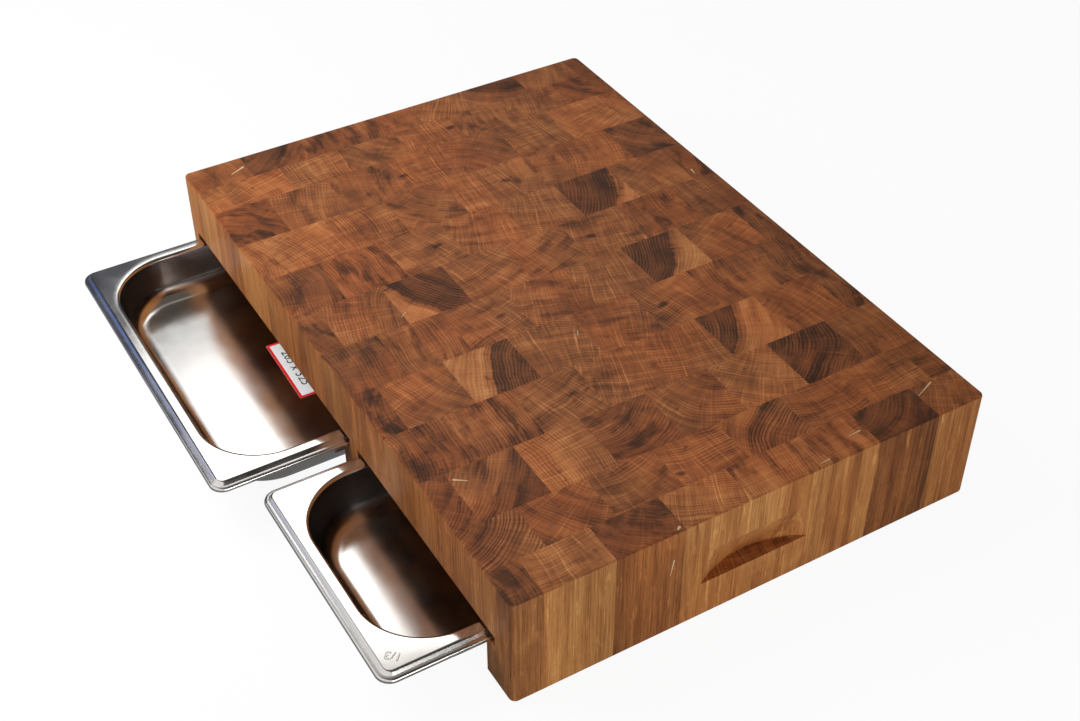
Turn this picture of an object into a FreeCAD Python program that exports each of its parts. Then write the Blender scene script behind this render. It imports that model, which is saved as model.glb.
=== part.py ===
"""End-grain cutting board with two steel food pans that slide in under it as drawers.

Frame: millimetres, +Z up, the supporting surface at Z = 0.  +X runs along the board's length and -Y is
the front, where the pans come out.  The origin is at the bottom centre of the whole object as it
stands, with both pans partly pulled out.
"""
import FreeCAD
import Part
import math
import os

V = FreeCAD.Vector
UP = V(0, 0, 1)

# ---- steel pans: two standard widths, both as long as the standard size asks ----
pan_length = 325.0            # front to back, over the rim
half_pan_width = 265.0        # the wider pan, over the rim
third_pan_width = 176.0       # the narrower pan, over the rim
pan_depth = 35.4              # top of the rim to the underside of the floor
sheet = 0.8                   # steel thickness
rim_corner_radius = 10.0      # plan radius of the rim's outer edge
rim_overhang = 12.5           # outer edge of the rim to the outside of the wall
wall_corner_radius = 45.0     # plan radius of the wall, at its top
wall_taper = 3.5              # how far the wall leans in on its way down
brim_radius = 3.0             # bend from the flat rim into the wall
floor_radius = 15.0           # bend from the wall into the floor

# ---- the lip: the rim's outer edge steps down to a crease, swells to a bead and turns down ----
lip_width = 5.2               # outer edge of the rim to where the flat rim starts
lip_drop = 5.2                # top of the rim to the lip's lowest edge
lip_shoulder_radius = 1.4     # bend at the edge of the flat rim
crease_inset = 3.2            # outer edge to the crease
crease_drop = 2.4             # top of the rim to the crease
crease_radius = 0.7           # bend in the crease
bead_radius = 1.6             # bend over the bead
bead_fall = 0.2               # from the crease out to the bead

# ---- how the pans sit in the board ----
rim_rest_gap = 0.2            # lip above the groove's lower face
rim_side_gap = 0.5            # lip to the groove's left end
half_pan_play = 2.5           # free room on the right of the wider pan
third_pan_play = 5.5          # free room on the right of the narrower pan
rear_gap = 0.5                # back of the rim to the back of the bay, pushed home
half_pan_pull = 93.5          # how far the wider pan stands out
third_pan_pull = 69.5         # how far the narrower pan stands out

# ---- the block ----
board_height = 85.0
rear_wall = 20.5              # wood behind the bays
left_wall = 13.5              # wood outside the left groove
right_wall = 19.5             # wood outside the right groove
neck = 12.0                   # wood between the two grooves of the divider
groove_depth = 10.0           # how far a groove runs into a leg or the divider
groove_floor = 31.8           # height of the face that carries the rims
groove_height = 7.7           # that face to the underside of the cutting slab
bay_corner_radius = 8.0       # cutter radius in the back corners of the bays
corner_radius = 4.5           # upright outer corners
edge_radius = 1.5             # top and bottom outer edges

# ---- finger grips, one in each end ----
grip_ledge = 29.5             # height of the flat ledge the fingers hook on
grip_top = 56.5               # height where the sloping back meets the end face
grip_width = 80.0
grip_depth = 11.5
grip_offset = -2.0            # from the middle of the board, along Y
grip_runout = 0.4             # depth left where the back meets the end face

# ---- the glued staves ----
second_strip_width = 32.5     # the strip beside the left end strip
strip_width = 46.0            # every strip between
stave_length = 47.8           # front to back
rear_stave_even = 41.8        # the part stave at the back of every other strip
rear_stave_odd = 18.8         # and of the strips between, turned end for end
rear_stave_left = 14.4        # and of the left end strip
rear_stave_right = 37.8       # and of the right end strip
least_piece = 8.0             # a narrower strip or shorter stave stays part of its neighbour

# ---- paper label stuck to the floor of the wider pan ----
label_width = 66.0
label_length = 42.0
label_thickness = 0.15
label_left_inset = 108.7      # left edge of the rim to the label
label_front_inset = 98.0      # front edge of the rim to the label
label_turn = -1.4             # degrees askew

# ---- derived sizes ----
half_groove = rim_side_gap + half_pan_width + half_pan_play
third_groove = rim_side_gap + third_pan_width + third_pan_play
board_length = left_wall + half_groove + neck + third_groove + right_wall
board_width = pan_length + rear_gap + rear_wall
end_strip_width = right_wall + groove_depth
left = -board_length / 2.0
right = board_length / 2.0
front = (max(half_pan_pull, third_pan_pull) - board_width) / 2.0
rear = front + board_width
slab_underside = groove_floor + groove_height
half_groove_left = left + left_wall
third_groove_left = half_groove_left + half_groove + neck
rim_top = groove_floor + rim_rest_gap + lip_drop
pan_floor = rim_top - pan_depth + sheet


def rounded_outline(width, length, radius, inset, z):
    """A rounded rectangle about the Z axis, drawn in by inset, as one closed wire."""
    x = width / 2.0 - radius
    y = length / 2.0 - radius
    arcs = []
    for centre_x, centre_y, start in ((x, y, 0), (-x, y, 90), (-x, -y, 180), (x, -y, 270)):
        arcs.append(Part.makeCircle(radius - inset, V(centre_x, centre_y, z), UP, start, start + 90))
    edges = []
    for arc, following in zip(arcs, arcs[1:] + arcs[:1]):
        edges.append(arc)
        edges.append(Part.makeLine(arc.Vertexes[-1].Point, following.Vertexes[0].Point))
    return Part.Wire(edges)


def bent_sheet(points, radii):
    """Section of bent sheet steel about a line through (inset, height) points, one radius per bend."""
    line = [V(-inset, 0, height) for inset, height in points]
    edges = []
    start = line[0]
    for before, bend, after, radius in zip(line, line[1:], line[2:], radii):
        back = (before - bend).normalize()
        ahead = (after - bend).normalize()
        half_angle = back.getAngle(ahead) / 2.0
        first = bend + back * (radius / math.tan(half_angle))
        last = bend + ahead * (radius / math.tan(half_angle))
        middle = bend + (back + ahead).normalize() * (radius / math.sin(half_angle) - radius)
        edges.append(Part.makeLine(start, first))
        edges.append(Part.Arc(first, middle, last).toShape())
        start = last
    edges.append(Part.makeLine(start, line[-1]))
    return Part.Face(Part.Wire(edges).makeOffset2D(sheet / 2.0))


def swept_ring(section, width, length, radius):
    """Carry a section, whose outer edge is at X = 0, round a rounded rectangle about the Z axis."""
    x = width / 2.0 - radius
    y = length / 2.0 - radius
    pieces = []
    for centre, turn, along in ((V(x, y, 0), 0, V(0, -2 * y, 0)), (V(-x, y, 0), 90, V(2 * x, 0, 0)),
                                (V(-x, -y, 0), 180, V(0, 2 * y, 0)), (V(x, -y, 0), 270, V(-2 * x, 0, 0))):
        face = section.translated(V(radius, 0, 0))
        face.rotate(V(0, 0, 0), UP, turn)
        face.translate(centre)
        pieces.append(face.revolve(centre, UP, 90))
        pieces.append(face.extrude(along))
    return pieces


def food_pan(width):
    """A pressed steel pan about the Z axis: stepped lip, flat rim, leaning wall and rounded floor."""
    middle = sheet / 2.0
    rim_line = rim_top - middle
    floor_line = pan_floor - middle
    wall_top = rim_overhang + middle
    wall_foot = wall_top + wall_taper
    rim_edge = wall_top - 2 * brim_radius
    floor_edge = wall_foot + floor_radius
    bowl_radius = rim_overhang + wall_corner_radius
    lip = bent_sheet([(lip_width + sheet, rim_line), (lip_width, rim_line),
                      (crease_inset, rim_line - crease_drop),
                      (middle, rim_line - crease_drop - bead_fall),
                      (middle, rim_top - lip_drop + middle)],
                     [lip_shoulder_radius, crease_radius, bead_radius])
    wall = bent_sheet([(rim_edge, rim_line), (wall_top, rim_line),
                       (wall_foot, floor_line), (floor_edge, floor_line)],
                      [brim_radius - middle, floor_radius - middle])
    pieces = swept_ring(lip, width, pan_length, rim_corner_radius)
    pieces += swept_ring(wall, width, pan_length, bowl_radius)
    rim = Part.Face(rounded_outline(width, pan_length, rim_corner_radius, lip_width, rim_top - sheet))
    well = Part.Face(rounded_outline(width, pan_length, bowl_radius, rim_edge, rim_top - sheet))
    floor = Part.Face(rounded_outline(width, pan_length, bowl_radius, floor_edge, pan_floor - sheet))
    pieces.append(rim.cut(well).extrude(V(0, 0, sheet)))
    pieces.append(floor.extrude(V(0, 0, sheet)))
    return pieces[0].multiFuse(pieces[1:]).removeSplitter()


def placed_pan(width, groove_left, pull):
    """The pan in its grooves, pulled out by pull."""
    return food_pan(width).translated(V(groove_left + rim_side_gap + width / 2.0,
                                        front - pull + pan_length / 2.0, 0))


def pan_label():
    """The paper label on the floor of the wider pan."""
    corner = V(half_groove_left + rim_side_gap + label_left_inset,
               front - half_pan_pull + label_front_inset, pan_floor)
    label = Part.makeBox(label_width, label_length, label_thickness, corner)
    label.rotate(corner, UP, label_turn)
    return label


def bay_cutter(x_low, x_high, z_low, z_high):
    """The space a cutter clears from the front face back to the rear wall."""
    depth = board_width - rear_wall
    box = Part.makeBox(x_high - x_low, depth + corner_radius, z_high - z_low,
                       V(x_low, front - corner_radius, z_low))
    back_corners = [edge for edge in box.Edges
                    if edge.BoundBox.YMin > front + depth / 2.0 and edge.BoundBox.XLength < 0.01]
    return box.makeFillet(bay_corner_radius, back_corners)


def pan_bay(groove_left, groove_width):
    """One bay, open below and in front, with its two grooves for the rim."""
    groove_right = groove_left + groove_width
    below = bay_cutter(groove_left + groove_depth, groove_right - groove_depth,
                       -edge_radius, slab_underside)
    grooves = bay_cutter(groove_left, groove_right, groove_floor, slab_underside)
    return below.fuse(grooves)


def grip_outline(depth, z):
    """A segment of a circle cut into the right end face, closed just outside it."""
    middle = (front + rear) / 2.0 + grip_offset
    low = V(right, middle - grip_width / 2.0, z)
    high = V(right, middle + grip_width / 2.0, z)
    out = V(edge_radius, 0, 0)
    arc = Part.Arc(low, V(right - depth, middle, z), high).toShape()
    return Part.Wire([arc, Part.makeLine(high, high + out), Part.makeLine(high + out, low + out),
                      Part.makeLine(low + out, low)])


def grip_cutter():
    """Flat ledge below, back sloping out to a straight upper edge."""
    return Part.makeLoft([grip_outline(grip_depth, grip_ledge), grip_outline(grip_runout, grip_top)],
                         True, True)


def block():
    """The whole glued block: rounded outside, two bays under it and a grip in each end."""
    solid = Part.makeBox(board_length, board_width, board_height, V(left, front, 0))
    uprights = [edge for edge in solid.Edges if edge.BoundBox.ZLength > board_height / 2.0]
    solid = solid.makeFillet(corner_radius, uprights)
    rims = [edge for edge in solid.Edges if edge.BoundBox.ZLength < 0.01]
    solid = solid.makeFillet(edge_radius, rims)
    grip = grip_cutter()
    other_grip = grip.mirror(V(0, 0, 0), V(1, 0, 0))
    return solid.cut([pan_bay(half_groove_left, half_groove), pan_bay(third_groove_left, third_groove),
                      grip, other_grip])


def strip_seams():
    """X of every seam between strips, end faces included."""
    seams = [left, left + end_strip_width, left + end_strip_width + second_strip_width]
    while seams[-1] + strip_width < right - end_strip_width - least_piece:
        seams.append(seams[-1] + strip_width)
    return seams + [right - end_strip_width, right]


def stave_seams(rear_stave):
    """Y of every joint between the staves of a strip, from the rear face to the front face."""
    joints = [rear, rear - rear_stave]
    while joints[-1] - stave_length > front + least_piece:
        joints.append(joints[-1] - stave_length)
    return joints + [front]


def cut_strip(solid, x_low, x_high, rear_stave):
    """One strip of the block, as its separate staves."""
    joints = stave_seams(rear_stave)
    staves = []
    for y_high, y_low in zip(joints, joints[1:]):
        prism = Part.makeBox(x_high - x_low, y_high - y_low, board_height, V(x_low, y_low, 0))
        staves += solid.common(prism).Solids
    return Part.makeCompound(staves)


def strips():
    """Every glued strip by its name, from the left end to the right end."""
    solid = block()
    seams = strip_seams()
    count = len(seams) - 1
    parts = {}
    for number, (x_low, x_high) in enumerate(zip(seams, seams[1:]), 1):
        name = "strip_%02d" % number
        rear_stave = rear_stave_odd if number % 2 else rear_stave_even
        if number == 1:
            name, rear_stave = "end_strip_left", rear_stave_left
        if number == count:
            name, rear_stave = "end_strip_right", rear_stave_right
        parts[name] = cut_strip(solid, x_low, x_high, rear_stave)
    return parts


def main():
    parts = strips()
    parts["half_pan"] = placed_pan(half_pan_width, half_groove_left, half_pan_pull)
    parts["third_pan"] = placed_pan(third_pan_width, third_groove_left, third_pan_pull)
    parts["pan_label"] = pan_label()
    os.makedirs("parts", exist_ok=True)
    for name, shape in parts.items():
        print(name, len(shape.Solids), shape.isValid(), round(shape.Volume / 1000.0, 1), "cm3")
        shape.exportStep("parts/%s.step" % name)


main()
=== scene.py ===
"""End-grain oak cutting board with two steel food pans under it: finishes, print and studio."""
import math
from collections import namedtuple

import bmesh
import bpy
from mathutils import Matrix, Vector


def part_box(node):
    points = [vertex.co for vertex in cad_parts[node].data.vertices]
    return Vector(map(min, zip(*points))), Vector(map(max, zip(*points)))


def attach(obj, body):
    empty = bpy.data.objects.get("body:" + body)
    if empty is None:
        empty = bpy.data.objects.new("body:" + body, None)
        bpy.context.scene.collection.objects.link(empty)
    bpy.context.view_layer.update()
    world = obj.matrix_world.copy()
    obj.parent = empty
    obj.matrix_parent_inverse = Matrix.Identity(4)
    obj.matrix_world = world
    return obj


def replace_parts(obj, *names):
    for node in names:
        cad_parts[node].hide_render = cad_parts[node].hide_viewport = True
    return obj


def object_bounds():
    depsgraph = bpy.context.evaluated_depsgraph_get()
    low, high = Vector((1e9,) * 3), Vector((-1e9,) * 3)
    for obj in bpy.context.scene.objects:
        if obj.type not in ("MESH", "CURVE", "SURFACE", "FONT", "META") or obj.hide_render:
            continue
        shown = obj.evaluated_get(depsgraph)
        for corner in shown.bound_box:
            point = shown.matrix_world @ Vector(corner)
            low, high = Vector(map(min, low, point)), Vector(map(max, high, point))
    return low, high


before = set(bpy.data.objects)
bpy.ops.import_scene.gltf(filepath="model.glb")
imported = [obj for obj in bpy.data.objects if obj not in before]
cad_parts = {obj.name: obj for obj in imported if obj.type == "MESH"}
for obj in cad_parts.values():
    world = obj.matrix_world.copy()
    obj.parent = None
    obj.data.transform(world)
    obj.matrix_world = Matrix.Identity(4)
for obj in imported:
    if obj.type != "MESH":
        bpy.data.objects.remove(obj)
cad_low, cad_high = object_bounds()

MM = 0.001
weld = 0.001 * MM             # points nearer than this are one point

# ---- the pressed steel pans ----
sheet = 0.8 * MM
lip_width = 5.2 * MM          # outer edge of the rim to where the flat rim starts
lip_drop = 5.2 * MM           # top of the rim to the lip's lowest edge
crease_inset = 3.2 * MM
crease_drop = 2.4 * MM
bead_fall = 0.2 * MM
lip_bends = (1.4 * MM, 0.7 * MM, 1.6 * MM)
rim_corner_radius = 10.0 * MM
rim_overhang = 12.5 * MM      # outer edge of the rim to the outside of the wall
wall_corner_radius = 45.0 * MM
wall_taper = 3.5 * MM
brim_radius = 3.0 * MM
floor_radius = 15.0 * MM
corner_steps = 24
bend_steps = 8

# ---- the glued block ----
stave_length = 47.8 * MM
rear_stave_odd = 18.8 * MM
rear_stave_even = 41.8 * MM
rear_stave_ends = {"end_strip_left": 14.4 * MM, "end_strip_right": 37.8 * MM}
least_stave = 8.0 * MM
saw_step = 88.0               # mm, one crosscut strip to the next, along the panel's grain
log_length = 731.0            # mm, from one stave's log to the next, so that their figures differ
NO_EDGE = 1000.0              # mm, for a stave of one tone all through

# Places where the wood has splintered pale, and a painted highlight, as (start, end, half width) in mm.
top_face = round(cad_high.z / MM, 1)
right_face = round(cad_high.x / MM, 1)
CHIPS_AND_EDGE_HIGHLIGHT = (
    ((220.5, 197.8, top_face), (226.5, 182.8, top_face), 0.55),
    ((232.9, 130.0, top_face), (233.4, 121.0, top_face), 0.55),
    ((243.5, 98.0, top_face), (243.8, 91.0, top_face), 0.40),
    ((244.0, -12.0, top_face), (right_face, -17.0, top_face - 1.5), 0.80),
    ((right_face, -16.5, 62.0), (right_face, -18.5, 50.0), 0.70),
    ((143.5, -106.0, top_face), (148.5, -99.0, top_face), 0.80),
    ((-233.5, -84.0, top_face), (-228.5, -95.0, top_face), 0.90),
    ((-58.5, 206.0, top_face), (-53.0, 205.2, top_face), 0.70),
    ((62.0, 31.0, top_face), (66.5, 28.5, top_face), 0.35),
    ((-14.0, -58.0, top_face), (-10.5, -63.0, top_face), 0.35),
    # the last two are no splinter: they paint a pale highlight along the edge of the grip's ledge
    ((238.5, 62.0, 29.8), (243.2, 74.0, 29.8), 0.35),
    ((243.2, 74.0, 29.8), (246.6, 82.5, 29.8), 0.35),
)

# ---- print and stamp ----
label_size = (66.0 * MM, 42.0 * MM)
label_turn = math.radians(-1.4)
label_border = 3.0 * MM
ink_thickness = 0.03 * MM
label_numbers = "265 x 325"
label_numbers_size = 10.5 * MM
label_numbers_place = (0.0, -11.0 * MM)         # from the middle of the label
stamp_numbers = "1/3"
stamp_size = 8.2 * MM
stamp_rise = 0.35 * MM
stamp_place = (208.0 * MM, -181.6 * MM)
stamp_turn = math.radians(228.0)
rim_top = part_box("third_pan")[1].z

# ---- studio ----
lens = 53.24
eye = (0.7545, -0.4073, 0.7548)
looking = (-0.65626, 0.38800, -0.64713)         # from the eye towards what it looks at
studio_light = 0.27           # the even light on the object, where 1 is the white background
floor_white = (0.9, 0.9, 0.9)
floor_glow = 0.93             # share of the floor's look that is its own white; the rest shows shadow
floor_in_steel = 0.18         # how bright that white shows in the steel
floor_reach = 6.0


# ---------------------------------------------------------------- helpers

def finished_piece(name, bm, body, slot, *materials):
    """A mesh object that rides on a body and takes the given materials."""
    mesh = bpy.data.meshes.new(name)
    bm.to_mesh(mesh)
    bm.free()
    for material in materials:
        mesh.materials.append(material)
    piece = bpy.data.objects.new(name, mesh)
    bpy.context.scene.collection.objects.link(piece)
    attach(piece, body)
    return piece


def smooth_faces(bm, limit=35.0):
    """Smooth faces, with an edge left sharp where it turns more than limit degrees."""
    for face in bm.faces:
        face.smooth = True
    for edge in bm.edges:
        edge.smooth = edge.is_manifold and edge.calc_face_angle() < math.radians(limit)


class Recipe:
    """A material's node tree, with one short call per node."""

    def __init__(self, name):
        self.material = bpy.data.materials.new(name)
        self.material.use_nodes = True
        self.tree = self.material.node_tree
        self.shader = self.tree.nodes["Principled BSDF"]

    def put(self, socket, value):
        if isinstance(value, bpy.types.NodeSocket):
            self.tree.links.new(value, socket)
        elif isinstance(value, tuple) and len(socket.default_value) == 4:
            socket.default_value = (*value, 1.0)
        else:
            socket.default_value = value

    def node(self, kind, sockets=(), **settings):
        made = self.tree.nodes.new("ShaderNode" + kind)
        for key, value in settings.items():
            setattr(made, key, value)
        named = sockets.items() if isinstance(sockets, dict) else enumerate(sockets)
        for key, value in named:
            if value is not None:
                self.put(made.inputs[key], value)
        return made

    def math(self, operation, *values):
        return self.node("Math", values, operation=operation).outputs[0]

    def add(self, *values):
        return self.math("ADD", *values)

    def less(self, *values):
        return self.math("SUBTRACT", *values)

    def times(self, *values):
        return self.math("MULTIPLY", *values)

    def vector(self, operation, *values):
        return self.node("VectorMath", values, operation=operation).outputs[0]

    def measure(self, operation, *values):
        return self.node("VectorMath", values, operation=operation).outputs["Value"]

    def object_point(self):
        return self.node("TexCoord").outputs["Object"]

    def split(self, vector):
        return self.node("SeparateXYZ", [vector]).outputs

    def join(self, x, y, z):
        return self.node("CombineXYZ", [x, y, z]).outputs[0]

    def attribute(self, name):
        return self.node("Attribute", attribute_name=name).outputs["Vector"]

    def noise(self, point, scale=1.0, detail=2.0, roughness=0.5):
        sockets = {"Vector": point, "Scale": scale, "Detail": detail, "Roughness": roughness}
        return self.node("TexNoise", sockets).outputs["Fac"]

    def figure(self, point, per_unit, detail=2.0, roughness=0.5):
        """Noise with its own pace along each axis, so that it is long where the pace is small."""
        return self.noise(self.vector("MULTIPLY", point, per_unit), 1.0, detail, roughness)

    def swing(self, point, per_unit, detail=2.0, roughness=0.5):
        """The same about zero, from -0.5 to 0.5."""
        return self.less(self.figure(point, per_unit, detail, roughness), 0.5)

    def remap(self, value, low, high, to_low=0.0, to_high=1.0):
        sockets = [value, low, high, to_low, to_high]
        return self.node("MapRange", sockets, interpolation_type="SMOOTHSTEP").outputs[0]

    def hairlines(self, phase, wide, narrow):
        """1 on thin lines a whole phase apart, 0 between them."""
        return self.remap(self.math("ABSOLUTE", self.less(self.math("FRACT", phase), 0.5)), wide, narrow)

    def mix(self, share, first, second, blend="MIX"):
        sockets = {0: share, 6: first, 7: second}
        return self.node("Mix", sockets, data_type="RGBA", blend_type=blend).outputs[2]

    def ramp(self, value, *stops):
        made = self.node("ValToRGB", [value])
        elements = made.color_ramp.elements
        while len(elements) < len(stops):
            elements.new(1.0)
        for element, (place, colour) in zip(elements, stops):
            element.position = place
            element.color = (*colour, 1.0)
        return made.outputs[0]

    def finish(self, colour, roughness=None, bump=None, depth=None, strength=None, **fixed):
        """Fill the shader's sockets; fixed ones are the same all over the surface."""
        for key, value in (("Base Color", colour), ("Roughness", roughness)):
            if value is not None:
                self.put(self.shader.inputs[key], value)
        for key, value in fixed.items():
            self.shader.inputs[key.replace("_", " ")].default_value = value
        if bump is not None:
            lift = self.node("Bump", {"Height": bump, "Distance": depth, "Strength": strength})
            self.tree.links.new(lift.outputs[0], self.shader.inputs["Normal"])
        return self.material


# ---------------------------------------------------------------- steel

def bent_line(points, bends):
    """The line through (inset, height) points, with an arc of the given radius at each bend."""
    line = [Vector((-inset, 0, height)) for inset, height in points]
    rounded = [line[0]]
    for before, corner, after, radius in zip(line, line[1:], line[2:], bends):
        back = (before - corner).normalized()
        ahead = (after - corner).normalized()
        half = back.angle(ahead) / 2
        centre = corner + (back + ahead).normalized() * (radius / math.sin(half))
        first = (corner + back * (radius / math.tan(half)) - centre).normalized()
        last = (corner + ahead * (radius / math.tan(half)) - centre).normalized()
        rounded += [centre + radius * first.slerp(last, step / bend_steps)
                    for step in range(bend_steps + 1)]
    return rounded + [line[-1]]


def sweep_round(bm, line, width, length, radius):
    """Carry a section line round a rounded rectangle about the Z axis, as one closed band."""
    x = width / 2 - radius
    y = length / 2 - radius
    verts = [bm.verts.new((x + radius + point.x, y, point.z)) for point in line]
    section = verts + [bm.edges.new(pair) for pair in zip(verts, verts[1:])]
    for centre, along in (((x, y), (-2 * x, 0)), ((-x, y), (0, -2 * y)),
                          ((-x, -y), (2 * x, 0)), ((x, -y), (0, 2 * y))):
        spun = bmesh.ops.spin(bm, geom=section, cent=(*centre, 0), axis=(0, 0, 1),
                              angle=math.pi / 2, steps=corner_steps, use_duplicate=False)
        edges = [part for part in spun["geom_last"] if isinstance(part, bmesh.types.BMEdge)]
        section = bmesh.ops.extrude_edge_only(bm, edges=edges)["geom"]
        section = [part for part in section if not isinstance(part, bmesh.types.BMFace)]
        moved = [part for part in section if isinstance(part, bmesh.types.BMVert)]
        bmesh.ops.translate(bm, verts=moved, vec=(*along, 0))


def open_edges(bm, height):
    """The free edges that lie level at a height."""
    return [edge for edge in bm.edges if edge.is_boundary
            and all(abs(vert.co.z - height) < weld for vert in edge.verts)]


def pressed_pan(node, steel):
    """A food pan pressed from one sheet: stepped lip, flat rim, leaning wall and rounded floor.

    The body that it rides on has its node's name.
    """
    low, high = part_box(node)
    width, length, _ = high - low
    rim_line = high.z - sheet / 2
    floor_line = low.z + sheet / 2
    wall_top = rim_overhang + sheet / 2
    wall_foot = wall_top + wall_taper
    rim_edge = wall_top - 2 * brim_radius
    floor_edge = wall_foot + floor_radius
    lip = bent_line([(lip_width + sheet, rim_line), (lip_width, rim_line),
                     (crease_inset, rim_line - crease_drop),
                     (sheet / 2, rim_line - crease_drop - bead_fall),
                     (sheet / 2, high.z - lip_drop)], lip_bends)
    wall = bent_line([(rim_edge, rim_line), (wall_top, rim_line), (wall_foot, floor_line),
                      (floor_edge, floor_line)], (brim_radius - sheet / 2, floor_radius - sheet / 2))
    bm = bmesh.new()
    sweep_round(bm, lip, width, length, rim_corner_radius)
    sweep_round(bm, wall, width, length, rim_overhang + wall_corner_radius)
    bmesh.ops.remove_doubles(bm, verts=bm.verts, dist=weld)
    bmesh.ops.triangle_fill(bm, edges=open_edges(bm, rim_line), normal=(0, 0, 1), use_beauty=True)
    bmesh.ops.contextual_create(bm, geom=open_edges(bm, floor_line))
    bmesh.ops.recalc_face_normals(bm, faces=bm.faces)
    if max(bm.faces, key=lambda face: face.calc_area()).normal.z < 0:
        bmesh.ops.reverse_faces(bm, faces=bm.faces)
    bmesh.ops.translate(bm, verts=bm.verts, vec=((low.x + high.x) / 2, (low.y + high.y) / 2, 0))
    smooth_faces(bm)
    piece = finished_piece(node + "_steel", bm, node, "steel", steel)
    pressed = piece.modifiers.new("sheet", "SOLIDIFY")
    pressed.thickness = sheet
    pressed.offset = 0.0
    pressed.use_even_offset = True
    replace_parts(piece, node)


def satin_steel():
    """Cold-rolled stainless: satin, faintly clouded and a little wavy, and brighter on the rim."""
    recipe = Recipe("satin_steel")
    point = recipe.object_point()
    clouds = recipe.noise(point, scale=45.0, detail=3.0)
    waves = recipe.noise(point, scale=30.0)
    polish = recipe.figure(point, (2600, 160, 2600))
    tone = recipe.ramp(clouds, (0.3, (0.63, 0.61, 0.58)), (0.7, (0.70, 0.685, 0.665)))
    satin = recipe.add(recipe.remap(clouds, 0.3, 0.7, 0.15, 0.20), recipe.remap(polish, 0.3, 0.7, 0.0, 0.02))
    height = recipe.split(point)[2]
    burnished = recipe.remap(height, rim_top - 1.0 * MM, rim_top - 0.4 * MM, 0.0, -0.06)
    return recipe.finish(tone, recipe.add(satin, burnished), waves, 0.2 * MM, 0.15, Metallic=1.0)


# ---------------------------------------------------------------- oak

# How light each tone of wood is, from 0 to 1, and the colour of a lightness on the sawn ends
# (end grain) and along the fibres (long grain).
TONES = {"dark": 0.30, "brown": 0.40, "medium": 0.49, "tan": 0.58, "gold": 0.70}
END_GRAIN = (
    (0.0, (0.032, 0.013, 0.006)),
    (0.2, (0.082, 0.029, 0.011)),
    (0.4, (0.180, 0.058, 0.018)),
    (0.5, (0.246, 0.081, 0.024)),
    (0.65, (0.350, 0.125, 0.037)),
    (0.8, (0.45, 0.180, 0.056)),
    (1.0, (0.60, 0.29, 0.10)),
)
LONG_GRAIN = (
    (0.0, (0.090, 0.030, 0.009)),
    (0.25, (0.195, 0.070, 0.019)),
    (0.5, (0.320, 0.128, 0.035)),
    (0.75, (0.450, 0.208, 0.062)),
    (1.0, (0.62, 0.35, 0.11)),
)
warm_tint = (1.09, 0.94, 0.85)
bruised_colour = (0.10, 0.040, 0.015)
# the pale of a tear, also used for the painted highlight on the grip ledge's edge
torn_and_highlight_colour = (0.62, 0.40, 0.22)

# One stave of a glued panel, seen on its end grain.  out is the way out from the log's pith, in
# degrees from +X; pith is how far off that pith lies (mm).  rings, rays and patches say how strong
# each of these shows, from 0 to 1.  From edge (mm past the middle of the stave, outwards) the wood
# takes the tone named beyond, and drift is how far that edge moves in from one crosscut to the
# next.  knot is (outwards, across, size) in mm.
Stave = namedtuple("Stave", "tone out pith rings rays patches edge beyond drift knot",
                   defaults=(0.5, 0.5, 0.4, None, None, 0, (0, 0, 0)))

LEFT_PANEL = (
    Stave("brown", 315, 60, 0.4, 0.1, 0.9),
    Stave("medium", 75, 150, 0.4, 0.5, 0.5),
    Stave("medium", 75, 120, 0.2, 0.3, 0.9),
    Stave("medium", 0, 200, 0.3, 0.9, 0.3, knot=(-1, 19, 2.2)),
    Stave("medium", 315, 60, 0.5, 0.2, 0.8),
    Stave("medium", 92, 200, 0.7, 0.9, 0.3),
    Stave("tan", 105, 110, 0.5, 0.8, 0.3),
    Stave("tan", 95, 90, 0.4, 0.3, 0.6),
)
MIDDLE_PANEL = (
    Stave("brown", 80, 150, 0.4, 0.2, 1.0),
    Stave("medium", 108, 100, 0.5, 0.5, 0.4),
    Stave("dark", 60, 130, 0.75, 0.1, 0.2, edge=14, beyond="gold", drift=4.6),
    Stave("medium", 345, 140, 0.5, 0.8, 0.3),
    Stave("medium", 342, 170, 0.4, 0.7, 0.6),
    Stave("medium", 14, 250, 0.5, 0.8, 0.5, knot=(3, 10, 2.2)),
    Stave("medium", 90, 260, 0.6, 0.2, 0.9),
    Stave("brown", 85, 120, 0.5, 0.3, 0.7),
)
TENTH_STRIP = (
    Stave("medium", 90, 160, 0.3, 0.2, 0.5),
    Stave("dark", 50, 70, 0.8, 0.2, 0.5, edge=13, beyond="brown"),
    Stave("tan", 320, 110, 0.6, 0.7, 0.2),
    Stave("medium", 309, 42, 0.6, 0.3, 0.4),
    Stave("brown", 20, 60, 0.6, 0.1, 0.9),
    Stave("tan", 92, 200, 0.7, 0.7, 0.1),
    Stave("medium", 50, 120, 0.6, 0.1, 0.7, edge=11, beyond="dark"),
    Stave("brown", 50, 110, 0.6, 0.4, 0.4),
)
ELEVENTH_STRIP = (
    Stave("brown", 0, 160, 0.3, 0.3, 0.6),
    Stave("medium", 0, 160, 0.5, 0.4, 0.6),
    Stave("medium", 0, 150, 0.5, 0.4, 0.5),
    Stave("brown", 225, 90, 1.0, 0.2, 0.5, edge=7, beyond="tan"),
    Stave("tan", 0, 140, 0.7, 0.6, 0.4, knot=(8, -20, 2.0)),
    Stave("medium", 10, 100, 0.5, 0.7, 0.6),
    Stave("medium", 300, 70, 0.5, 0.5, 0.4),
    Stave("brown", 40, 45, 1.0, 0.3, 0.3),
)
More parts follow.
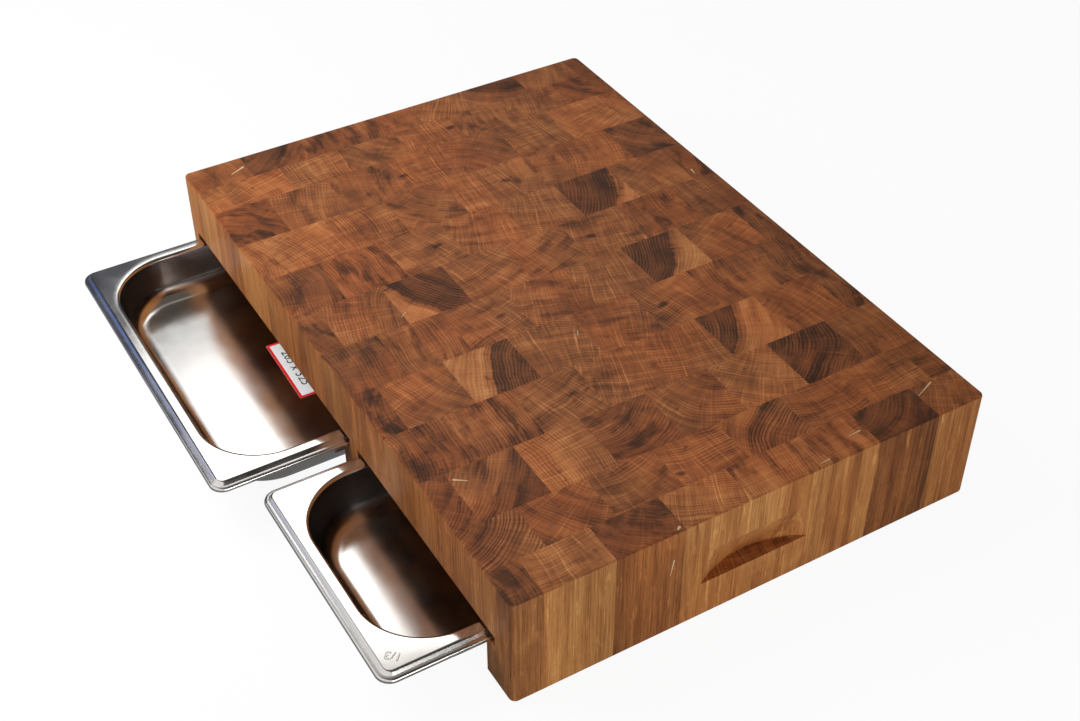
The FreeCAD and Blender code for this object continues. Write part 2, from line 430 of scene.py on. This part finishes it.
LEFT_END = (
    Stave("brown", 100, 120, 0.2, 0.2, 0.6),
    Stave("medium", 70, 140, 0.2, 0.2, 0.4),
    Stave("dark", 330, 60, 0.3, 0.1, 0.5, edge=2, beyond="medium"),
    Stave("medium", 330, 150, 0.2, 0.9, 0.3),
    Stave("medium", 90, 150, 0.4, 0.3, 0.6),
    Stave("brown", 90, 120, 0.3, 0.2, 0.8),
    Stave("dark", 45, 60, 0.3, 0.1, 0.6, edge=6, beyond="medium"),
    Stave("medium", 100, 120, 0.3, 0.3, 0.5),
)
RIGHT_END = (
    Stave("medium", 60, 150, 0.3, 0.3, 0.5),
    Stave("dark", 35, 60, 0.5, 0.1, 0.6, edge=4, beyond="dark"),
    Stave("tan", 95, 150, 0.4, 0.3, 0.9),
    Stave("tan", 90, 220, 0.5, 0.5, 0.8),
    Stave("tan", 335, 150, 0.5, 0.9, 0.1),
    Stave("brown", 320, 60, 0.3, 0.1, 0.7),
    Stave("tan", 0, 170, 0.5, 0.7, 0.3),
    Stave("brown", 100, 90, 0.5, 0.5, 0.8),
)

# Which panel each strip was sawn from, its place in it, and how it was turned: x and y are -1
# where the strip lies mirrored that way.
Layup = namedtuple("Layup", "panel place x y")
LAYUP = {
    "end_strip_left": Layup(LEFT_END, 0, 1, 1),
    "strip_02": Layup(LEFT_PANEL, 1, 1, 1),
    "strip_03": Layup(LEFT_PANEL, 2, -1, -1),
    "strip_04": Layup(LEFT_PANEL, 3, 1, 1),
    "strip_05": Layup(MIDDLE_PANEL, 0, 1, 1),
    "strip_06": Layup(MIDDLE_PANEL, 1, 1, -1),
    "strip_07": Layup(MIDDLE_PANEL, 2, 1, 1),
    "strip_08": Layup(MIDDLE_PANEL, 3, -1, -1),
    "strip_09": Layup(MIDDLE_PANEL, 4, 1, 1),
    "strip_10": Layup(TENTH_STRIP, 5, 1, 1),
    "strip_11": Layup(ELEVENTH_STRIP, 6, 1, 1),
    "end_strip_right": Layup(RIGHT_END, 7, 1, 1),
}


def stave_joints(node, number):
    """Y of every joint between the staves of a strip, from the rear face to the front face."""
    low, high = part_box(node)
    rear_stave = rear_stave_odd if number % 2 else rear_stave_even
    joints = [high.y, high.y - rear_stave_ends.get(node, rear_stave)]
    while joints[-1] - stave_length > low.y + least_stave:
        joints.append(joints[-1] - stave_length)
    return joints + [low.y]


def corners(faces):
    """The vertices of some faces, each once."""
    return list(dict.fromkeys(vert for face in faces for vert in face.verts))


def write_figure(bm, faces, middle, stave, layup, seed):
    """Store where each point of a stave lay in its log, and how that log's wood looks."""
    grain = bm.verts.layers.float_vector["grain"]
    look = bm.faces.layers.float_vector["look"]
    sap = bm.faces.layers.float_vector["sap"]
    knot = bm.faces.layers.float_vector["knot"]
    heart = bm.faces.layers.float_vector["heart"]
    out = Vector((math.cos(math.radians(stave.out)), math.sin(math.radians(stave.out)), 0))
    across = Vector((-out.y, out.x, 0))
    for vert in corners(faces):
        offset = vert.co - middle
        turned = Vector((offset.x * layup.x, offset.y * layup.y, 0))
        along = vert.co.z * layup.y / MM + layup.place * saw_step + seed * log_length
        vert[grain] = (turned.dot(out) / MM + stave.pith, turned.dot(across) / MM, along)
    tone = TONES[stave.tone]
    beyond = TONES[stave.beyond] if stave.beyond else tone
    edge = stave.pith + stave.edge - stave.drift * layup.place if stave.beyond else NO_EDGE
    for face in faces:
        face[look] = (tone, stave.rings, stave.rays)
        face[sap] = (edge, beyond, stave.patches)
        face[knot] = (stave.pith + stave.knot[0], *stave.knot[1:])
        face[heart] = (stave.pith, 0, 0)


def faces_by_stave(bm, joints):
    """The faces of a strip, one list per stave, from the rear to the front."""
    a_step_in = 0.1 * MM
    staves = [[] for _ in joints[1:]]
    for face in bm.faces:
        inside = face.calc_center_median() - face.normal * a_step_in
        staves[sum(inside.y < joint for joint in joints[1:-1])].append(face)
    return staves


def dressed_strip(node, number, oak):
    """One glued strip of the block, with every stave a closed solid that holds its own figure."""
    bm = bmesh.new()
    bm.from_mesh(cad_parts[node].data)
    for name in ("look", "sap", "knot", "heart"):
        bm.faces.layers.float_vector.new(name)
    bm.verts.layers.float_vector.new("grain")
    joints = stave_joints(node, number)
    for faces in faces_by_stave(bm, joints):
        bmesh.ops.split(bm, geom=faces)
    for faces in faces_by_stave(bm, joints):
        bmesh.ops.remove_doubles(bm, verts=corners(faces), dist=weld)
    layup = LAYUP[node]
    low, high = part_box(node)
    logs = list(enumerate(layup.panel, 1))[::layup.y]
    for faces, (seed, stave), rear, front in zip(faces_by_stave(bm, joints), logs, joints, joints[1:]):
        middle = Vector(((low.x + high.x) / 2, (rear + front) / 2, 0))
        write_figure(bm, faces, middle, stave, layup, seed)
    smooth_faces(bm, limit=20.0)
    piece = finished_piece(node + "_oak", bm, "board", "oak", oak)
    # normals stored with the solid would override the ones worked out here
    stale = piece.data.attributes.get("custom_normal")
    if stale is not None:
        piece.data.attributes.remove(stale)
    crisp = piece.modifiers.new("flat_faces", "WEIGHTED_NORMAL")
    crisp.keep_sharp = True
    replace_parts(piece, node)


def chipped_or_highlit(recipe, ragged):
    """How near a point is to a splintered place or the painted edge highlight: first its dark surround, then
    the pale tear or highlight.
    """
    point = recipe.vector("MULTIPLY", recipe.object_point(), (1 / MM, 1 / MM, 1 / MM))
    wide_end, narrowing = 1.25, 0.8
    bruised = torn_or_highlit = 0.0
    for start, end, half_width in CHIPS_AND_EDGE_HIGHLIGHT:
        run = Vector(end) - Vector(start)
        offset = recipe.vector("SUBTRACT", point, start)
        dot = recipe.measure("DOT_PRODUCT", offset, tuple(run))
        share = recipe.node("Clamp", [recipe.math("DIVIDE", dot, run.length_squared)]).outputs[0]
        nearest = recipe.node("VectorMath", {0: tuple(run), "Scale": share}, operation="SCALE").outputs[0]
        width = recipe.less(wide_end, recipe.times(share, narrowing))
        gap = recipe.math("DIVIDE", recipe.measure("DISTANCE", offset, nearest),
                          recipe.times(width, half_width))
        gap = recipe.add(gap, ragged)
        torn_or_highlit = recipe.math("MAXIMUM", torn_or_highlit, recipe.remap(gap, 1.1, 0.7))
        bruised = recipe.math("MAXIMUM", bruised, recipe.remap(gap, 2.6, 1.0))
    return bruised, torn_or_highlit


# Where a point lay in its log: off the pith (rings), round it (turn) and along it, with how far it
# is from a knot and a fine shake of the wood.
Log = namedtuple("Log", "place rings turn shake knot_gap")


def place_in_log(recipe, grain):
    """The log's own directions at a point, a little wavy and pushed aside at a knot."""
    add, times = recipe.add, recipe.times
    knot = recipe.attribute("knot")
    knot_size = recipe.math("MAXIMUM", recipe.split(knot)[2], 0.01)
    pith = recipe.split(recipe.attribute("heart"))[0]
    outwards, across, along = recipe.split(grain)
    sway = recipe.swing(grain, (0.024, 0.024, 0.005), detail=1.0)
    shake = recipe.swing(grain, (0.13, 0.13, 0.012))
    off_pith = add(recipe.math("POWER", outwards, 2.0), recipe.math("POWER", across, 2.0))
    off_pith = recipe.math("SQRT", off_pith)
    off_knot = recipe.vector("MULTIPLY", recipe.vector("SUBTRACT", grain, knot), (1.0, 0.6, 0.0))
    knot_gap = recipe.math("DIVIDE", recipe.measure("LENGTH", off_knot), knot_size)
    knot_gap = add(knot_gap, times(shake, 1.6))
    rings = add(off_pith, add(times(sway, 11.0), times(shake, 1.6)))
    rings = add(rings, times(recipe.remap(knot_gap, 3.0, 0.4), 2.5))
    turn = add(times(recipe.math("ARCTAN2", across, outwards), pith), times(sway, 6.0))
    return Log(recipe.join(rings, turn, along), rings, turn, shake, knot_gap)


def growth_rings(recipe, log, depth):
    """Each year a pale line of dense wood and a dark line of pores, faint in places."""
    pace = recipe.figure(log.place, (0.09, 0.003, 0.002), detail=1.0)
    years = recipe.add(recipe.times(log.rings, 0.43), recipe.times(pace, 2.6))
    pale_line = recipe.hairlines(years, 0.26, 0.06)
    pore_line = recipe.hairlines(recipe.add(years, 0.5), 0.20, 0.04)
    return (recipe.times(recipe.less(pale_line, 0.35), recipe.times(depth, 0.18)),
            recipe.times(pore_line, recipe.times(depth, -0.16)))


def rays(recipe, log, share):
    """Pale lines out from the pith: a few broad ones, and many fine ones between them."""
    wander = recipe.figure(log.place, (0.010, 0.10, 0.008))
    line = recipe.hairlines(recipe.add(recipe.times(log.turn, 0.34), recipe.times(wander, 3.6)), 0.14, 0.02)
    fade = recipe.remap(recipe.figure(log.place, (0.022, 0.30, 0.015), detail=1.0), 0.44, 0.60)
    fine = recipe.hairlines(recipe.add(recipe.times(log.turn, 0.95), recipe.times(wander, 5.0)), 0.30, 0.06)
    fine_fade = recipe.remap(recipe.figure(log.place, (0.06, 0.22, 0.02), detail=1.0), 0.38, 0.62)
    return (recipe.times(recipe.times(line, fade), recipe.times(share, 0.30)),
            recipe.times(recipe.times(fine, fine_fade), recipe.times(share, 0.13)))


def end_grain_light(recipe, grain, log, bands, pores):
    """How light the sawn ends are, from 0 to 1, which the figure on the sides follows."""
    add, times, less = recipe.add, recipe.times, recipe.less
    tone, ring_share, ray_share = recipe.split(recipe.attribute("look"))
    edge, beyond, patch_share = recipe.split(recipe.attribute("sap"))
    hatch = recipe.swing(log.place, (0.05, 0.55, 0.02), 3.0, 0.62)
    specks = recipe.swing(log.place, (4.6, 2.6, 0.1), detail=1.0)
    patches = recipe.figure(log.place, (0.10, 0.036, 0.008), 3.0, 0.6)
    spots = recipe.figure(grain, (0.14, 0.14, 0.02), detail=1.0)
    clouds = recipe.swing(grain, (0.040, 0.040, 0.010), detail=3.0)
    ring_fade = recipe.figure(log.place, (0.05, 0.035, 0.006))
    ring_fade = recipe.remap(ring_fade, 0.36, 0.62, 0.25, 1.0)

    # the tone changes at the edge between the heartwood and the wood beyond it
    past_edge = add(less(log.rings, edge), add(times(hatch, 4.0), times(log.shake, 3.0)))
    crossing = add(times(recipe.remap(past_edge, -0.8, 0.8), 0.55),
                   times(recipe.remap(past_edge, 2.0, 6.5), 0.45))
    heart_edge = times(recipe.remap(past_edge, -13.0, -5.0), recipe.remap(past_edge, 1.0, -1.0))
    light = add(times(tone, less(1.0, crossing)), times(beyond, crossing))
    light = less(light, times(heart_edge, 0.09))
    ring_depth = times(ring_fade, times(ring_share, less(1.0, times(crossing, 0.5))))
    for amount in (*growth_rings(recipe, log, ring_depth),
                   *rays(recipe, log, ray_share),
                   times(bands, add(times(ring_share, 0.20), 0.42)),
                   times(hatch, add(times(ray_share, 0.34), 0.20)),
                   times(recipe.remap(patches, 0.52, 0.33), times(patch_share, -0.29)),
                   times(recipe.remap(spots, 0.30, 0.20), -0.16),
                   times(clouds, 0.48),
                   times(specks, 0.20),
                   times(recipe.remap(pores, 0.44, 0.32), -0.09),
                   times(recipe.remap(log.knot_gap, 1.5, 0.5), -0.34)):
        light = add(light, amount)
    return light, tone


def long_grain_light(recipe, grain, light, tone, fibres):
    """How light the sides are: long fibres and streaks, short dark pores and pale flecks."""
    add, times = recipe.add, recipe.times
    dashes = recipe.figure(grain, (2.1, 2.1, 0.12))
    flecks = recipe.figure(grain, (0.20, 0.20, 0.055), 4.0, 0.65)
    streaks = recipe.swing(grain, (0.16, 0.16, 0.006))
    plain = add(times(recipe.less(tone, TONES["medium"]), 1.25), 0.52)
    light = add(plain, add(times(recipe.less(light, tone), 0.70), times(fibres, 0.95)))
    light = add(light, times(streaks, 0.55))
    light = add(light, times(recipe.remap(dashes, 0.43, 0.30), -0.22))
    return add(light, times(recipe.remap(flecks, 0.56, 0.70), 0.20))


def oiled_oak():
    """Oiled oak: growth rings, rays and pores run through the solid, darker on the end grain."""
    recipe = Recipe("oiled_oak")
    grain = recipe.attribute("grain")
    log = place_in_log(recipe, grain)
    bands = recipe.swing(log.place, (0.22, 0.020, 0.006), 3.0, 0.6)
    pores = recipe.figure(log.place, (2.4, 1.8, 0.05))
    fibres = recipe.swing(grain, (0.90, 0.90, 0.016), 4.0, 0.70)
    light, tone = end_grain_light(recipe, grain, log, bands, pores)
    side_light = long_grain_light(recipe, grain, light, tone, fibres)

    upright = recipe.math("ABSOLUTE", recipe.split(recipe.node("TexCoord").outputs["Normal"])[2])
    colour = recipe.mix(recipe.remap(upright, 0.15, 0.70), recipe.ramp(side_light, *LONG_GRAIN),
                        recipe.ramp(light, *END_GRAIN))
    warmth = recipe.figure(grain, (0.012, 0.012, 0.003), detail=1.0)
    warmer = recipe.mix(1.0, colour, warm_tint, "MULTIPLY")
    colour = recipe.mix(recipe.remap(warmth, 0.35, 0.65), colour, warmer)
    bruised, torn_or_highlit = chipped_or_highlit(recipe, recipe.times(fibres, 0.9))
    colour = recipe.mix(recipe.times(bruised, 0.45), colour, bruised_colour)
    # pale tears, and the painted highlight along the grip ledge's edge
    colour = recipe.mix(recipe.times(torn_or_highlit, 0.85), colour, torn_and_highlight_colour)
    rough = recipe.remap(light, 0.1, 0.9, 0.54, 0.44)
    height = recipe.add(recipe.times(bands, 0.6), recipe.times(pores, 0.5))
    return recipe.finish(colour, rough, height, 0.12 * MM, 0.5, Specular_IOR_Level=0.22)


# ---------------------------------------------------------------- print and stamp

def coated_paper(name, colour):
    """Label paper or the ink on it: flat, with a trace of the paper's fibre."""
    recipe = Recipe(name)
    fibre = recipe.noise(recipe.object_point(), scale=900.0, detail=3.0)
    darker = tuple(0.9 * part for part in colour)
    tone = recipe.mix(recipe.remap(fibre, 0.3, 0.7), darker, colour)
    return recipe.finish(tone, recipe.remap(fibre, 0.3, 0.7, 0.42, 0.50), fibre, 0.04 * MM, 0.3)


def flat_numbers(name, numbers, size, place, turn, thickness, rounding, body, slot, material):
    """Plain numbers that lie flat, centred on a place, printed (thickness) or raised (rounding)."""
    curve = bpy.data.curves.new(name, "FONT")
    curve.body = numbers
    curve.size = size
    curve.align_x = "CENTER"
    curve.align_y = "CENTER"
    curve.extrude = thickness / 2
    curve.bevel_depth = rounding
    curve.bevel_resolution = 2
    curve.offset = -rounding / 2
    outline = bpy.data.objects.new(name, curve)
    mesh = bpy.data.meshes.new_from_object(outline)
    bpy.data.objects.remove(outline)
    bm = bmesh.new()
    bm.from_mesh(mesh)
    bmesh.ops.remove_doubles(bm, verts=bm.verts, dist=weld / 10)
    laid = Matrix.Translation(place) @ Matrix.Rotation(turn, 4, "Z")
    bmesh.ops.transform(bm, verts=bm.verts, matrix=laid)
    finished_piece(name, bm, body, slot, material)


def printed_label(paper, border, ink):
    """A paper label on the wider pan's floor: white, with a printed border and plain numbers."""
    low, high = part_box("pan_label")
    thickness = high.z - low.z
    place = Matrix.Translation((low + high) / 2) @ Matrix.Rotation(label_turn, 4, "Z")
    bm = bmesh.new()
    bmesh.ops.create_cube(bm, size=1.0)
    bmesh.ops.scale(bm, verts=bm.verts, vec=(*label_size, thickness))
    face = max(bm.faces, key=lambda face: face.calc_center_median().z)
    for ring in bmesh.ops.inset_region(bm, faces=[face], thickness=label_border)["faces"]:
        ring.material_index = 1
    bmesh.ops.transform(bm, verts=bm.verts, matrix=place)
    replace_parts(finished_piece("printed_label", bm, "half_pan", "label", paper, border), "pan_label")
    top = place @ Vector((*label_numbers_place, thickness / 2 + ink_thickness / 2))
    flat_numbers("label_numbers", label_numbers, label_numbers_size, top, label_turn, ink_thickness, 0.0,
                 "half_pan", "label", ink)


def rim_stamp(steel):
    """The fraction that names the narrower pan's size, raised a little on its rim."""
    flat_numbers("rim_stamp", stamp_numbers, stamp_size, (*stamp_place, rim_top), stamp_turn, 0.0,
                 stamp_rise, "third_pan", "steel", steel)


# ---------------------------------------------------------------- studio

def aimed(obj, place, target):
    """Put an object in the scene at a place and turn its front to the target."""
    obj.location = place
    obj.rotation_mode = "QUATERNION"
    obj.rotation_quaternion = (Vector(target) - Vector(place)).to_track_quat("-Z", "Y")
    bpy.context.scene.collection.objects.link(obj)
    return obj


def square(name, half):
    """A flat square about the origin."""
    bm = bmesh.new()
    bmesh.ops.create_grid(bm, x_segments=1, y_segments=1, size=half)
    mesh = bpy.data.meshes.new(name)
    bm.to_mesh(mesh)
    bm.free()
    return mesh


def camera():
    data = bpy.data.cameras.new("camera")
    data.lens = lens
    data.sensor_width = 36.0
    target = tuple(start + step for start, step in zip(eye, looking))
    bpy.context.scene.camera = aimed(bpy.data.objects.new("camera", data), eye, target)


def softbox(name, place, target, width, height, power):
    data = bpy.data.lights.new(name, "AREA")
    data.shape = "RECTANGLE"
    data.size = width
    data.size_y = height
    data.energy = power
    return aimed(bpy.data.objects.new(name, data), place, target)


def shown_rays(tree):
    """1 for the rays that see the backdrop: camera, glossy and transmission."""
    path = tree.nodes.new("ShaderNodeLightPath")
    total = path.outputs["Is Camera Ray"]
    for name in ("Is Glossy Ray", "Is Transmission Ray"):
        largest = tree.nodes.new("ShaderNodeMath")
        largest.operation = "MAXIMUM"
        tree.links.new(total, largest.inputs[0])
        tree.links.new(path.outputs[name], largest.inputs[1])
        total = largest.outputs[0]
    return total


def surroundings():
    """White where it is seen, an even soft light elsewhere."""
    world = bpy.data.worlds.new("studio")
    bpy.context.scene.world = world
    world.use_nodes = True
    tree = world.node_tree
    background = tree.nodes["Background"]
    background.inputs["Color"].default_value = (1, 1, 1, 1)
    strength = tree.nodes.new("ShaderNodeMapRange")
    tree.links.new(shown_rays(tree), strength.inputs[0])
    strength.inputs["To Min"].default_value = studio_light
    strength.inputs["To Max"].default_value = 1.0
    tree.links.new(strength.outputs[0], background.inputs["Strength"])


def floor():
    """A pale floor that is seen white but keeps the shadow, and shows dimmer in the steel."""
    obj = bpy.data.objects.new("floor", square("floor", floor_reach))
    bpy.context.scene.collection.objects.link(obj)
    recipe = Recipe("floor_paint")
    recipe.finish(floor_white, 0.9)
    mirrored = recipe.node("LightPath").outputs["Is Glossy Ray"]
    strength = recipe.less(1.0, recipe.times(mirrored, 1.0 - floor_in_steel))
    glow = recipe.node("Emission", {"Color": (1, 1, 1), "Strength": strength})
    blend = recipe.node("MixShader", {0: recipe.times(shown_rays(recipe.tree), floor_glow),
                                      1: recipe.shader.outputs[0], 2: glow.outputs[0]})
    recipe.tree.links.new(blend.outputs[0], recipe.tree.nodes["Material Output"].inputs["Surface"])
    obj.data.materials.append(recipe.material)


def card(name, place, target, width, height, colour):
    """A flat glowing card that shows in reflections alone."""
    mesh = square(name, 0.5)
    mesh.transform(Matrix.Diagonal((width, height, 1, 1)))
    recipe = Recipe(name)
    recipe.finish((0, 0, 0), Emission_Color=(*colour, 1.0), Emission_Strength=1.0, Specular_IOR_Level=0.0)
    mesh.materials.append(recipe.material)
    obj = aimed(bpy.data.objects.new(name, mesh), place, target)
    for ray in ("camera", "diffuse", "transmission", "volume_scatter", "shadow"):
        setattr(obj, "visible_" + ray, False)


def lamps():
    """A window that only the gloss sees, and two lamps: front left from above, and from the right."""
    window = softbox("window_softbox", place=(-1.22, 0.50, 1.46), target=(0, 0, 0.05),
                     width=1.15, height=0.62, power=4.4)
    window.visible_diffuse = False
    softbox("right_softbox", place=(1.65, -0.20, 0.45), target=(0.2, 0.05, 0.05),
            width=0.9, height=0.7, power=10.5)
    overhead = softbox("overhead_softbox", place=(-0.46, -0.61, 0.75), target=(0, -0.05, 0.05),
                       width=0.7, height=0.7, power=11.2)
    overhead.visible_glossy = False


def cards():
    """What the steel reflects besides the window: dark beside it, a blue line low down, pale above."""
    slate = (0.075, 0.08, 0.10)
    card("left_card", place=(-1.66, 0.1, 0.58), target=(0, 0.1, 0.58),
         width=3.4, height=1.16, colour=slate)
    card("right_card", place=(1.9, 0.6, 1.3), target=(0, 0, 0.3),
         width=3.4, height=2.4, colour=(0.02, 0.018, 0.016))
    card("tall_card", place=(-1.62, -0.71, 1.38), target=(0, -0.71, 1.38),
         width=1.78, height=0.72, colour=slate)
    card("blue_card", place=(-1.58, -1.50, 0.14), target=(0, -1.0, 0.14),
         width=1.40, height=0.26, colour=(0.11, 0.20, 0.58))
    card("rear_card", place=(-1.0, 2.0, 1.7), target=(-1.0, 0, 1.7),
         width=4.6, height=3.4, colour=(0.03, 0.027, 0.024))
    card("pale_card", place=(-1.28, 0.30, 2.32), target=(-1.28, 0.30, 0),
         width=1.16, height=3.0, colour=(0.50, 0.47, 0.45))
    card("top_card", place=(0.35, 0.3, 2.3), target=(0.35, 0.3, 0),
         width=2.2, height=3.0, colour=(0.12, 0.11, 0.095))


# ---------------------------------------------------------------- the object

steel = satin_steel()
oak = oiled_oak()
for number, node in enumerate(LAYUP, 1):
    dressed_strip(node, number, oak)
pressed_pan("half_pan", steel)
pressed_pan("third_pan", steel)
printed_label(paper=coated_paper("label_paper", (0.86, 0.86, 0.86)),
              border=coated_paper("red_print", (0.72, 0.02, 0.02)),
              ink=coated_paper("black_print", (0.012, 0.012, 0.014)))
rim_stamp(steel)

camera()
surroundings()
floor()
lamps()
cards()

bpy.context.scene.view_settings.view_transform = "Standard"
